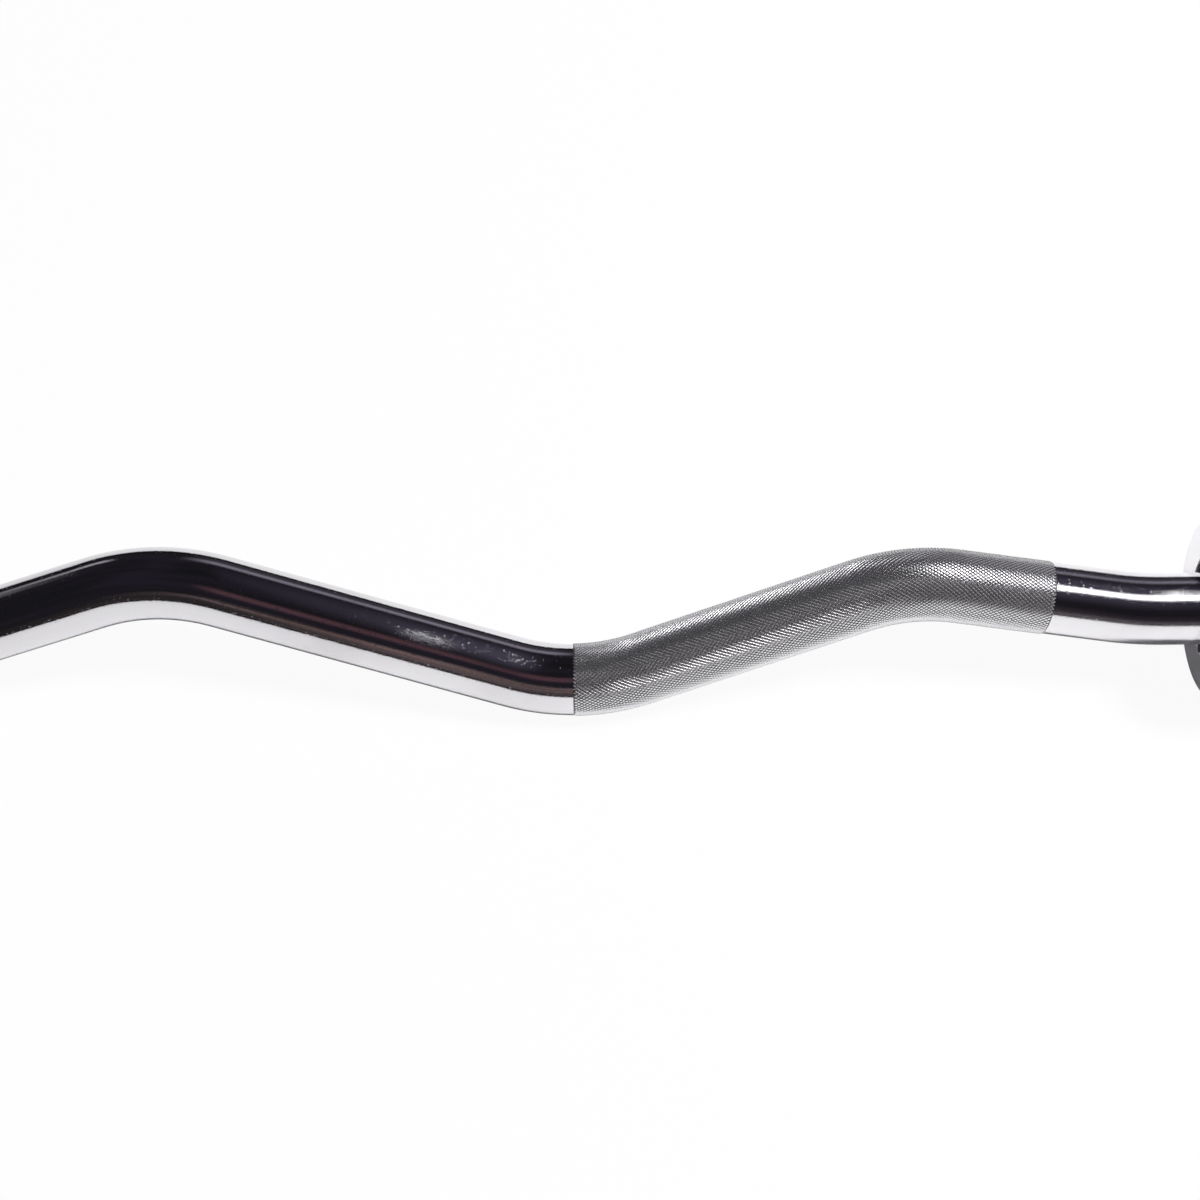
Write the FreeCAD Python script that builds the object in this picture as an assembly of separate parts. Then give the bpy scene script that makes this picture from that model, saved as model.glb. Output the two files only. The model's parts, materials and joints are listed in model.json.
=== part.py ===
import FreeCAD, Part
import math
import os

# EZ curl bar, in millimetres: a bent shaft with a turning plate sleeve on each end.
# The sleeves' common axis runs along X, and the bar lies on the floor at Z = 0, on the rims
# of its collars and on its two low bends, which lean towards -Y.

# Shaft
SHAFT_DIAMETER = 28.0
KNURL_HEIGHT = 0.3
KNURL_END_GAP = 64.3
SHOULDER_STEP = 1.5
SHOULDER_INSET = 2.0
JOURNAL_CHAMFER = 1.0

# Bends, given by the corners that the straight runs would meet at without them
CENTRE_TO_LOW = 162.0
LOW_TO_HIGH = 128.0
HIGH_TO_END = 89.5
END_TO_COLLAR = 28.5
CENTRE_RISE = 19.0
LOW_DROP = 31.4
HIGH_RISE = 13.2
BEND_RADIUS = 82.0
END_BEND_RADIUS = 150.0

# Fits
RUNNING_CLEARANCE = 0.05
SEAT_CLEARANCE = 0.02
END_PLAY = 0.2
GROOVE_PLAY = 0.1

# Sleeve tube
SLEEVE_DIAMETER = 50.0
SLEEVE_LENGTH = 176.0
SLEEVE_WALL = 8.43
SLEEVE_CHAMFER = 2.0
RELIEF_STEP = 2.5
NECK_STEP = 0.5
SPIGOT_STEP = 3.0

# Inner collar
COLLAR_DIAMETER = 72.0
COLLAR_WIDTH = 16.0
COLLAR_POCKET = 2.0
COLLAR_EDGE_RADIUS = 2.0

# Dust seal
SEAL_WALL = 7.2
SEAL_WIDTH = 3.5
SEAL_INSET = 0.5
SEAL_BEVEL = 1.2

# Bushings
BUSHING_WALL = 4.0
BUSHING_LENGTH = 30.0
BUSHING_CHAMFER = 0.8

# Thrust washers
INNER_WASHER_THICKNESS = 2.0
OUTER_WASHER_THICKNESS = 2.5
WASHER_CLEARANCE = 0.5

# Shaft circlip
SHAFT_CLIP_THICKNESS = 1.2
SHAFT_CLIP_WIDTH = 2.4
SHAFT_CLIP_GAP = 3.0
SHAFT_GROOVE_DEPTH = 0.6
SHAFT_GROOVE_TO_END = 4.0
SHAFT_LUG_RADIUS = 1.5
SHAFT_LUG_REACH = 1.2
SHAFT_LUG_HOLE_RADIUS = 0.8

# End cap and its O-ring
CAP_LEDGE = 2.0
CAP_THICKNESS = 7.0
CAP_CHAMFER = 0.6
CAP_RIM = 4.5
CAP_DISH_DEPTH = 1.0
CAP_TO_SHAFT = 3.0
O_RING_SECTION_RADIUS = 1.2

# End cap circlip
CAP_CLIP_THICKNESS = 1.75
CAP_CLIP_WIDTH = 3.5
CAP_CLIP_GAP = 6.0
CAP_CLIP_INSET = 3.0
CAP_GROOVE_DEPTH = 1.2
CAP_LUG_RADIUS = 2.0
CAP_LUG_REACH = 2.5
CAP_LUG_HOLE_RADIUS = 1.1

# Cuts run this far past the faces that they open
OVERRUN = 1.0

# Radii that follow from these sizes, from the sleeve's outside in to the journal
shaft_radius = SHAFT_DIAMETER / 2
knurl_radius = shaft_radius + KNURL_HEIGHT
collar_radius = COLLAR_DIAMETER / 2
sleeve_radius = SLEEVE_DIAMETER / 2
neck_radius = sleeve_radius - NECK_STEP
spigot_radius = sleeve_radius - SPIGOT_STEP
seat_radius = sleeve_radius - SLEEVE_WALL
relief_radius = seat_radius - RELIEF_STEP
bushing_radius = seat_radius - SEAT_CLEARANCE
journal_bore = bushing_radius - BUSHING_WALL
journal_radius = journal_bore - RUNNING_CLEARANCE
shaft_groove_radius = journal_radius - SHAFT_GROOVE_DEPTH
shoulder_radius = journal_radius + SHOULDER_STEP
seal_bore = shoulder_radius + RUNNING_CLEARANCE
seal_radius = seal_bore + SEAL_WALL
cap_bore_radius = seat_radius + CAP_LEDGE
cap_groove_radius = cap_bore_radius + CAP_GROOVE_DEPTH

# Places along a sleeve, measured outwards from its collar's inner face
seal_back = SEAL_INSET + SEAL_WIDTH
shoulder = seal_back + SHOULDER_INSET
inner_washer_back = shoulder + INNER_WASHER_THICKNESS
inner_bushing_front = inner_washer_back + END_PLAY
inner_bushing_back = inner_bushing_front + BUSHING_LENGTH
tube_shoulder = COLLAR_WIDTH - COLLAR_POCKET
sleeve_end = COLLAR_WIDTH + SLEEVE_LENGTH
cap_groove_end = sleeve_end - CAP_CLIP_INSET
cap_face = cap_groove_end - CAP_CLIP_THICKNESS - GROOVE_PLAY
cap_seat = cap_face - CAP_THICKNESS
shaft_end = cap_seat - CAP_TO_SHAFT
shaft_groove_end = shaft_end - SHAFT_GROOVE_TO_END
shaft_groove_start = shaft_groove_end - SHAFT_CLIP_THICKNESS - GROOVE_PLAY
outer_washer_front = shaft_groove_start - OUTER_WASHER_THICKNESS
outer_bushing_back = outer_washer_front - END_PLAY
outer_bushing_front = outer_bushing_back - BUSHING_LENGTH

# Places along the bar, measured from its middle
low_reach = CENTRE_TO_LOW
high_reach = low_reach + LOW_TO_HIGH
end_reach = high_reach + HIGH_TO_END
collar_reach = end_reach + END_TO_COLLAR

origin = FreeCAD.Vector(0, 0, 0)
along = FreeCAD.Vector(1, 0, 0)
across = FreeCAD.Vector(0, 1, 0)
up = FreeCAD.Vector(0, 0, 1)


class Straight:
    """A straight run of the bar's centreline."""

    def __init__(self, start, end):
        self.start = start
        self.end = end
        self.length = (end - start).Length

    def cut(self, begin, end):
        step = (self.end - self.start) / self.length
        return Straight(self.start + step * begin, self.start + step * end)

    def tube(self, radius):
        return Part.makeCylinder(radius, self.length, self.start, self.end - self.start)


class Bend:
    """A round bend of the bar's centreline, which turns through an angle about an axis at its centre."""

    def __init__(self, centre, axis, start, turn):
        self.centre = centre
        self.axis = axis
        self.start = start
        self.turn = turn
        self.length = (start - centre).Length * turn

    def point(self, distance):
        spin = FreeCAD.Rotation(self.axis, math.degrees(self.turn * distance / self.length))
        return self.centre + spin.multVec(self.start - self.centre)

    def cut(self, begin, end):
        turn = self.turn * (end - begin) / self.length
        return Bend(self.centre, self.axis, self.point(begin), turn)

    def tube(self, radius):
        forward = self.axis.cross(self.start - self.centre)
        section = Part.Face(Part.Wire(Part.makeCircle(radius, self.start, forward)))
        return section.revolve(self.centre, self.axis, math.degrees(self.turn))


def rounded_path(corners, radii):
    """Straight runs between the corners, with a tangent bend of its own radius at each inner corner."""
    path = []
    start = corners[0]
    for before, corner, after, radius in zip(corners, corners[1:], corners[2:], radii):
        arriving = (corner - before).normalize()
        leaving = (after - corner).normalize()
        axis = arriving.cross(leaving).normalize()
        turn = arriving.getAngle(leaving)
        bend_start = corner - arriving * radius * math.tan(turn / 2)
        bend = Bend(bend_start + axis.cross(arriving) * radius, axis, bend_start, turn)
        path += [Straight(start, bend_start), bend]
        start = bend.point(bend.length)
    return path + [Straight(start, corners[-1])]


def stretch(path, begin, end):
    """The part of a path between two distances from its start."""
    pieces = []
    passed = 0
    for run in path:
        first = max(begin - passed, 0)
        last = min(end - passed, run.length)
        if last > first:
            pieces.append(run.cut(first, last))
        passed += run.length
    return pieces


def lathe(outline):
    """A solid turned about the X axis from (place, radius) points."""
    points = [FreeCAD.Vector(place, 0, radius) for place, radius in outline]
    return Part.Face(Part.makePolygon(points + points[:1])).revolve(origin, along, 360)


def ring(front, back, inner, outer):
    return lathe([(front, inner), (front, outer), (back, outer), (back, inner)])


def circlip(front, thickness, inner, outer, gap, lug_radius, lug_height, hole_radius):
    """An open ring with a round lug and a plier hole on each side of its gap."""
    clip = ring(front, front + thickness, inner, outer)
    depth = thickness + OVERRUN * 2
    corner = FreeCAD.Vector(front - OVERRUN, -gap / 2, 0)
    clip = clip.cut(Part.makeBox(depth, gap, outer + OVERRUN, corner))
    for side in (-1, 1):
        centre = FreeCAD.Vector(front, side * (gap / 2 + lug_radius), lug_height)
        clip = clip.fuse(Part.makeCylinder(lug_radius, thickness, centre, along))
        clip = clip.cut(Part.makeCylinder(hole_radius, depth, centre - along * OVERRUN, along))
    return clip.removeSplitter()


def on_right(shape):
    """Moves a shape from a sleeve's own places to the right end of the bar."""
    return shape.translated(along * collar_reach)


def on_left(shape):
    return on_right(shape).rotated(origin, up, 180)


def bar_path():
    """The bent centreline from the left collar to the right one, before the bar leans."""
    half = [
        FreeCAD.Vector(0, 0, CENTRE_RISE),
        FreeCAD.Vector(low_reach, 0, -LOW_DROP),
        FreeCAD.Vector(high_reach, 0, HIGH_RISE),
        FreeCAD.Vector(end_reach, 0, 0),
        FreeCAD.Vector(collar_reach, 0, 0),
    ]
    other_half = [FreeCAD.Vector(-corner.x, 0, corner.z) for corner in reversed(half[1:])]
    half_radii = [BEND_RADIUS, BEND_RADIUS, END_BEND_RADIUS]
    radii = half_radii[::-1] + [BEND_RADIUS] + half_radii
    return rounded_path(other_half + half, radii)


def journal():
    """The turned end that a sleeve spins on, from its shoulder to the circlip's groove."""
    return lathe([
        (0, 0),
        (0, shoulder_radius),
        (shoulder, shoulder_radius),
        (shoulder, journal_radius),
        (shaft_groove_start, journal_radius),
        (shaft_groove_start, shaft_groove_radius),
        (shaft_groove_end, shaft_groove_radius),
        (shaft_groove_end, journal_radius),
        (shaft_end - JOURNAL_CHAMFER, journal_radius),
        (shaft_end, journal_radius - JOURNAL_CHAMFER),
        (shaft_end, 0),
    ])


def shaft():
    """The bent bar: smooth, with a raised knurl from each low point to short of the collar."""
    path = bar_path()
    length = sum(run.length for run in path)
    inner_run = path[len(path) // 2 + 1]
    low_bend = path[len(path) // 2 + 2]
    slope = math.atan2(CENTRE_RISE + LOW_DROP, CENTRE_TO_LOW)
    knurl_start = length / 2 + BEND_RADIUS * slope * 2 + inner_run.length
    knurl_end = length - KNURL_END_GAP
    marks = [0, length - knurl_end, length - knurl_start, knurl_start, knurl_end, length]
    radii = [shaft_radius, knurl_radius, shaft_radius, knurl_radius, shaft_radius]
    tubes = []
    for begin, end, radius in zip(marks, marks[1:], radii):
        tubes += [run.tube(radius) for run in stretch(path, begin, end)]
    bar = tubes[0].multiFuse(tubes[1:] + [on_left(journal()), on_right(journal())])
    # The bar turns about the sleeves' axis until its low bends meet the floor under the collars
    drop = BEND_RADIUS - low_bend.centre.z
    lean = math.acos(min(1, (collar_radius - knurl_radius) / drop))
    return bar.removeSplitter().rotated(origin, along, -math.degrees(lean))


def sleeve_tube():
    """The tube that plates go on: bushing seats, a spigot and neck in the collar, an end cap bore."""
    return lathe([
        (seal_back, seat_radius),
        (seal_back, spigot_radius),
        (tube_shoulder, spigot_radius),
        (tube_shoulder, neck_radius),
        (COLLAR_WIDTH, neck_radius),
        (COLLAR_WIDTH, sleeve_radius),
        (sleeve_end - SLEEVE_CHAMFER, sleeve_radius),
        (sleeve_end, sleeve_radius - SLEEVE_CHAMFER),
        (sleeve_end, cap_bore_radius),
        (cap_groove_end, cap_bore_radius),
        (cap_groove_end, cap_groove_radius),
        (cap_face, cap_groove_radius),
        (cap_face, cap_bore_radius),
        (cap_seat, cap_bore_radius),
        (cap_seat, seat_radius),
        (outer_bushing_front, seat_radius),
        (outer_bushing_front, relief_radius),
        (inner_bushing_back, relief_radius),
        (inner_bushing_back, seat_radius),
    ])


def inner_collar():
    """The ring that stops the plates, with a mouth for the seal and a pocket for the tube's neck."""
    collar = lathe([
        (0, seal_radius + SEAT_CLEARANCE),
        (0, collar_radius),
        (COLLAR_WIDTH, collar_radius),
        (COLLAR_WIDTH, sleeve_radius + SEAT_CLEARANCE),
        (tube_shoulder, sleeve_radius + SEAT_CLEARANCE),
        (tube_shoulder, spigot_radius + SEAT_CLEARANCE),
        (seal_back, spigot_radius + SEAT_CLEARANCE),
        (seal_back, seal_radius + SEAT_CLEARANCE),
    ])
    rims = [edge for edge in collar.Edges if abs(edge.BoundBox.ZMax - collar_radius) < SEAT_CLEARANCE]
    rims = [edge for edge in rims if edge.isClosed()]
    return collar.makeFillet(COLLAR_EDGE_RADIUS, rims)


def dust_seal():
    """The ring that fills the collar's mouth round the shaft, bevelled towards its lip."""
    return lathe([
        (seal_back, seal_bore),
        (SEAL_INSET + SEAL_BEVEL, seal_bore),
        (SEAL_INSET, seal_bore + SEAL_BEVEL),
        (SEAL_INSET, seal_radius),
        (seal_back, seal_radius),
    ])


def bushing(front, back):
    return lathe([
        (front, journal_bore),
        (front, bushing_radius - BUSHING_CHAMFER),
        (front + BUSHING_CHAMFER, bushing_radius),
        (back - BUSHING_CHAMFER, bushing_radius),
        (back, bushing_radius - BUSHING_CHAMFER),
        (back, journal_bore),
    ])


def thrust_washer(front, back):
    return ring(front, back, journal_bore, seat_radius - WASHER_CLEARANCE)


def shaft_circlip():
    inner = shaft_groove_radius + SEAT_CLEARANCE
    outer = inner + SHAFT_CLIP_WIDTH
    lug_height = outer + SHAFT_LUG_REACH - SHAFT_LUG_RADIUS
    return circlip(shaft_groove_start, SHAFT_CLIP_THICKNESS, inner, outer, SHAFT_CLIP_GAP,
                   SHAFT_LUG_RADIUS, lug_height, SHAFT_LUG_HOLE_RADIUS)


def end_cap():
    """The disc that closes the sleeve, dished in front and grooved round its rim for the O-ring."""
    rim = cap_bore_radius - SEAT_CLEARANCE
    groove = rim - O_RING_SECTION_RADIUS * 2
    middle = (cap_seat + cap_face) / 2
    return lathe([
        (cap_seat, 0),
        (cap_seat, rim - CAP_CHAMFER),
        (cap_seat + CAP_CHAMFER, rim),
        (middle - O_RING_SECTION_RADIUS - GROOVE_PLAY, rim),
        (middle - O_RING_SECTION_RADIUS - GROOVE_PLAY, groove),
        (middle + O_RING_SECTION_RADIUS + GROOVE_PLAY, groove),
        (middle + O_RING_SECTION_RADIUS + GROOVE_PLAY, rim),
        (cap_face - CAP_CHAMFER, rim),
        (cap_face, rim - CAP_CHAMFER),
        (cap_face, rim - CAP_RIM),
        (cap_face - CAP_DISH_DEPTH, rim - CAP_RIM - CAP_DISH_DEPTH),
        (cap_face - CAP_DISH_DEPTH, 0),
    ])


def end_cap_o_ring():
    """A round ring that fills the groove in the end cap's rim."""
    centre_radius = cap_bore_radius - SEAT_CLEARANCE - O_RING_SECTION_RADIUS
    middle = (cap_seat + cap_face) / 2
    section = O_RING_SECTION_RADIUS - SEAT_CLEARANCE
    return Part.makeTorus(centre_radius, section, FreeCAD.Vector(middle, 0, 0), along)


def end_cap_circlip():
    outer = cap_groove_radius - SEAT_CLEARANCE
    inner = outer - CAP_CLIP_WIDTH
    lug_height = inner - CAP_LUG_REACH + CAP_LUG_RADIUS
    return circlip(cap_face, CAP_CLIP_THICKNESS, inner, outer, CAP_CLIP_GAP,
                   CAP_LUG_RADIUS, lug_height, CAP_LUG_HOLE_RADIUS)


def sleeve_pieces():
    """Every piece at one end of the bar, in a sleeve's own places."""
    return {
        "sleeve_tube": sleeve_tube(),
        "inner_collar": inner_collar(),
        "dust_seal": dust_seal(),
        "inner_bushing": bushing(inner_bushing_front, inner_bushing_back),
        "outer_bushing": bushing(outer_bushing_front, outer_bushing_back),
        "inner_thrust_washer": thrust_washer(shoulder, inner_washer_back),
        "outer_thrust_washer": thrust_washer(outer_washer_front, shaft_groove_start),
        "shaft_circlip": shaft_circlip(),
        "end_cap": end_cap(),
        "end_cap_o_ring": end_cap_o_ring(),
        "end_cap_circlip": end_cap_circlip(),
    }


nodes = {"shaft": shaft()}
for name, shape in sleeve_pieces().items():
    nodes["left_" + name] = on_left(shape)
    nodes["right_" + name] = on_right(shape)

os.makedirs("parts", exist_ok=True)
for name, shape in nodes.items():
    shape.translated(up * collar_radius).exportStep(os.path.join("parts", name + ".step"))
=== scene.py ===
"""Looks of an EZ curl bar: polished chrome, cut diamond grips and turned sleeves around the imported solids."""

import json
import math

import bpy
import numpy as np
from bpy.props import FloatProperty, FloatVectorProperty, IntProperty, PointerProperty
from mathutils import Matrix, Vector


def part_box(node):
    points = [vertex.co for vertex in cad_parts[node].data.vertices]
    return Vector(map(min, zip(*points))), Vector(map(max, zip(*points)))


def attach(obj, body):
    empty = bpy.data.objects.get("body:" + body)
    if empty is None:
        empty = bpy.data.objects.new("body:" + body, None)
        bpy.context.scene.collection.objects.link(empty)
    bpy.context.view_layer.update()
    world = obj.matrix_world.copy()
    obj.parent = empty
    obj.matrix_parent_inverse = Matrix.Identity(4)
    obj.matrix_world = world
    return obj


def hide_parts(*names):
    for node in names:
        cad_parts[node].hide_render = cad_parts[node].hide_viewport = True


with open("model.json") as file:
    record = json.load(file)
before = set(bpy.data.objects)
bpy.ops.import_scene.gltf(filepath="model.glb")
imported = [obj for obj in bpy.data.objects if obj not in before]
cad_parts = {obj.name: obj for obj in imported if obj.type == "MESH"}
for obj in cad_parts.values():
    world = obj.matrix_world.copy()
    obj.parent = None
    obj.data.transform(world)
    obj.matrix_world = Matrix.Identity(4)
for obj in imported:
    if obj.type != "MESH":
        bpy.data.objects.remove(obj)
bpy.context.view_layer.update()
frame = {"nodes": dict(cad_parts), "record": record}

bl_info = {
    "name": "EZ Curl Bar",
    "version": (1, 0, 0),
    "blender": (4, 5, 0),
    "location": "3D View > Sidebar > Curl Bar",
    "description": "Builds the visible pieces of a chrome EZ curl bar around its packed solids",
    "category": "Object",
}

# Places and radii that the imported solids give, for the right end of the bar
collar_low, collar_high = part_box("right_inner_collar")
tube_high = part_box("right_sleeve_tube")[1]
seal_low, seal_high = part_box("right_dust_seal")
cap_low, cap_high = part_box("right_end_cap")
clip_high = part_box("right_end_cap_circlip")[1]
shaft_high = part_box("shaft")[1]
bushing_low, bushing_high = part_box("right_outer_bushing")
AXIS_HEIGHT = (collar_low.z + collar_high.z) / 2
COLLAR_FACE = collar_low.x
COLLAR_BACK = collar_high.x
COLLAR_RADIUS = collar_high.z - AXIS_HEIGHT
SLEEVE_RADIUS = tube_high.z - AXIS_HEIGHT
SLEEVE_END = tube_high.x
SEAL_FRONT = seal_low.x
SEAL_BACK = seal_high.x
SEAL_RADIUS = seal_high.z - AXIS_HEIGHT
CAP_SEAT = cap_low.x
CAP_FACE = cap_high.x
CAP_RADIUS = cap_high.z - AXIS_HEIGHT
CLIP_BACK = clip_high.x
SHAFT_END = shaft_high.x
SEAT_RADIUS = bushing_high.y

# Fits, in metres: between turned pieces that touch, beside a ring in its groove, between a seal and the shaft
FIT_GAP = 0.00002
SIDE_GAP = 0.0001
SEAL_GAP = 0.00005

# Small edges, and half the step between the rings at the middle of the shaft, in metres
SHOULDER_BEVEL = 0.0003
JOURNAL_BEVEL = 0.001
MIDDLE_STEP = 0.001
BORE_BEVEL = 0.0005
BORE_ROUNDING = 0.0002
LEAD_ROUNDING = 0.0012
RIM_ROUNDING = 0.0006
CAP_ROUNDING = 0.0005

# Depth of the O-ring's groove in the end cap, and of the grips' inner wall under the knurl's roots
RING_GROOVE = 0.0024
GRIP_WALL = 0.0002

# Edges that turn by more than this are drawn sharp, in degrees
SHARP_TURNED = 28
SHARP_KNURL = 25.5

# Each scuff beside the right grip: distance from the middle of the bar, half length, added roughness.
# Round the bar both have the same scale, in half widths per metre, and the same place, in half widths.
SCUFFS = ((0.106, 0.024, 0.42), (0.146, 0.024, 0.1))
SCUFF_SCALE = 190
SCUFF_PLACE = (1.54, 2.17)

# Stage: reach of the floor each way, its points along a side, and the height of the mirrored panels
FLOOR_REACH = 6
FLOOR_POINTS = 9
PANEL_HEIGHT = 0.736


def length(name, description, default):
    return FloatProperty(name=name, description=description, default=default, min=0, precision=5, unit="LENGTH")


def angle(name, description, degrees):
    return FloatProperty(name=name, description=description, default=math.radians(degrees), unit="ROTATION")


def colour(name, description, default):
    limits = {"size": 3, "min": 0, "max": 1}
    return FloatVectorProperty(name=name, description=description, default=default, subtype="COLOR", **limits)


def share_of(name, description, default, low, high):
    return FloatProperty(name=name, description=description, default=default, min=low, max=high)


def power(name, description, watts):
    return FloatProperty(name=name, description=description, default=watts, unit="POWER")


class BarShape(bpy.types.PropertyGroup):
    """The shaft's bends, given by the corners that its straight runs would meet at without them."""

    shaft_diameter: length("Shaft diameter", "Width of the smooth shaft", 0.028)
    centre_to_low: length("Middle to low bend", "Distance along the sleeves' axis", 0.162)
    low_to_high: length("Low to high bend", "Distance along the sleeves' axis", 0.128)
    high_to_end: length("High to end bend", "Distance along the sleeves' axis", 0.0895)
    centre_rise: length("Middle rise", "Height of the middle corner over the sleeves' axis", 0.019)
    low_drop: length("Low drop", "Depth of the low corners under the sleeves' axis", 0.0314)
    high_rise: length("High rise", "Height of the outer corners over the sleeves' axis", 0.0132)
    bend_radius: length("Bend radius", "Radius of the middle, low and high bends", 0.082)
    end_bend_radius: length("End bend radius", "Radius of the bend beside each collar", 0.15)
    shoulder: length("Shoulder", "Distance of the shaft's shoulder behind the collar's face", 0.006)
    journal_diameter: length("Journal diameter", "Width of the end that a sleeve spins on", 0.025)
    around: IntProperty(name="Facets round the shaft", description="Sides of the smooth shaft", default=144, min=24)


class GripKnurl(bpy.types.PropertyGroup):
    """The diamond pattern that is cut into the two grips."""

    crest_height: length("Crest height", "Height of the diamonds' tops over the smooth shaft", 0.0003)
    depth: length("Depth", "Depth of the grooves under the diamonds' tops", 0.00028)
    line_spacing: length("Line spacing", "Distance between neighbouring grooves of one direction", 0.0012)
    line_angle: angle("Line angle", "Angle between a groove and the bar", 36)
    top_share: share_of("Top share", "Share of a diamond that its worn top takes", 0.64, 0.02, 0.8)
    crown: length("Crown", "Height of a diamond's rounded top over its rim", 0.00009)
    end_gap: length("Smooth end", "Smooth length between a grip and its collar", 0.0643)


class SleeveShape(bpy.types.PropertyGroup):
    """Edges and bores of the turned pieces at each end."""

    collar_rounding: length("Collar rounding", "Radius of the collar's rims", 0.002)
    mouth_chamfer: length("Mouth chamfer", "Bevel of the collar's bore round the seal", 0.0004)
    sleeve_chamfer: length("Sleeve chamfer", "Bevel that leads plates on to the sleeve", 0.002)
    spigot_radius: length("Spigot radius", "Radius of the sleeve's end inside the collar", 0.022)
    neck_radius: length("Neck radius", "Radius of the sleeve in the collar's pocket", 0.0245)
    pocket: length("Pocket", "Depth of the collar's pocket round the neck", 0.002)
    groove_depth: length("Groove depth", "Depth of the end cap circlip's groove", 0.0012)
    relief_step: length("Relief step", "Step of the bore between the bushings", 0.0025)
    seal_lip: length("Seal lip", "Rounding of the seal's lips", 0.0006)
    cap_rim: length("Cap rim", "Width of the end cap's flat rim", 0.0045)
    cap_dish: length("Cap dish", "Depth of the end cap's dished middle", 0.001)
    around: IntProperty(name="Facets round the sleeve", description="Sides of the turned pieces", default=160, min=24)


class BarFinish(bpy.types.PropertyGroup):
    """Colours of the finishes."""

    chrome: colour("Chrome", "Polished chrome plate", (0.85, 0.84, 0.86))
    chrome_haze: colour("Chrome haze", "Chrome under handling marks", (0.70, 0.68, 0.70))
    # Colour at the bottom of the knurl's grooves: partly dirt, partly painted shade of the grooves
    groove_dirt_and_shade: colour("Grip groove", "Chrome at the bottom of the knurl's grooves", (0.17, 0.16, 0.17))
    bronze: colour("Bronze", "Oiled sintered bronze", (0.62, 0.42, 0.22))
    bronze_dark: colour("Bronze pores", "Oil-darkened pores of the bronze", (0.30, 0.18, 0.08))
    spring_steel: colour("Spring steel", "Phosphated circlips", (0.16, 0.16, 0.17))
    washer_steel: colour("Washer steel", "Ground thrust washers", (0.55, 0.55, 0.56))
    rubber: colour("Rubber", "Seals and O-rings", (0.02, 0.02, 0.022))


class StageSetup(bpy.types.PropertyGroup):
    """Camera, floor and lights."""

    elevation: angle("Camera elevation", "Height of the camera over the horizon", 57)
    distance: length("Camera distance", "Distance from the camera to the sleeves' axis", 0.712)
    aim_along: length("Aim along the bar", "Place on the bar that the camera looks at", 0.17125)
    aim_up: length("Aim above the axis", "How far above the axis the camera looks, in the picture", 0.00583)
    roll: angle("Camera roll", "Clockwise turn of the camera", 0.63)
    lens: FloatProperty(name="Lens", description="Focal length on a 36 mm sensor", default=54.92, unit="CAMERA")
    floor: colour("Floor", "Pale floor", (0.95, 0.95, 0.95))
    glow: share_of("Floor glow", "Share of the floor that stays white in shadow", 0.94, 0, 0.95)
    mirror_glow: share_of("Mirrored glow", "Share of the white in floor and backdrop that metal shows", 0.008, 0, 0.9)
    soft_power: power("Soft light", "Power of the broad light far off on the right", 515)
    near_power: power("Near panel", "Power of the panel over the right grip", 0.95)
    strip_power: power("Strip", "Power of the strip between the two panels", 0.25)
    far_power: power("Far panel", "Power of the panel past the right end", 0.3)


class CurlBarSettings(bpy.types.PropertyGroup):
    """Everything that a user would change."""

    bar: PointerProperty(type=BarShape)
    knurl: PointerProperty(type=GripKnurl)
    sleeve: PointerProperty(type=SleeveShape)
    finish: PointerProperty(type=BarFinish)
    stage: PointerProperty(type=StageSetup)


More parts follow.
